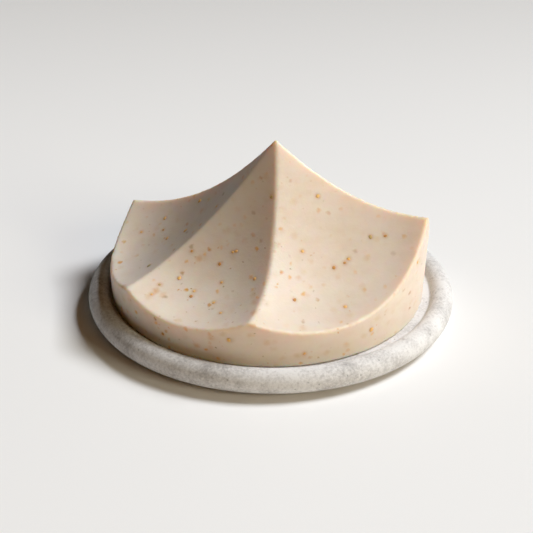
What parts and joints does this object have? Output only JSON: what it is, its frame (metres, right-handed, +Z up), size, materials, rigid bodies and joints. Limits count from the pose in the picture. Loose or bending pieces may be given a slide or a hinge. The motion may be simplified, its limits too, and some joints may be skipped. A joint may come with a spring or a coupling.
{
  "type": "shaving soap puck on dish",
  "caption": "Sculpted shaving soap puck with a scooped, peaked top and bran flakes in it, resting loose in a shallow round stone dish and lifting straight off.",
  "frame": {"origin": "on the table, at the centre of the dish's round foot", "axes": "+Z up; +X towards the soap's tall corner; -Y towards the low scooped front rim"},
  "size_m": [0.0988, 0.0988, 0.0504],
  "materials": {
    "stone": "matte",
    "soap": "satin",
    "bran": "matte"
  },
  "bodies": {
    "dish": {"stone_dish": "stone"},
    "soap": {"soap_puck": "soap", "bran_flakes": "bran"}
  },
  "joints": [
    {"name": "soap_lift_off", "type": "slide", "parent": "dish", "child": "soap", "axis": [0, 0, 1], "range_m": [0, 0.06]}
  ]
}
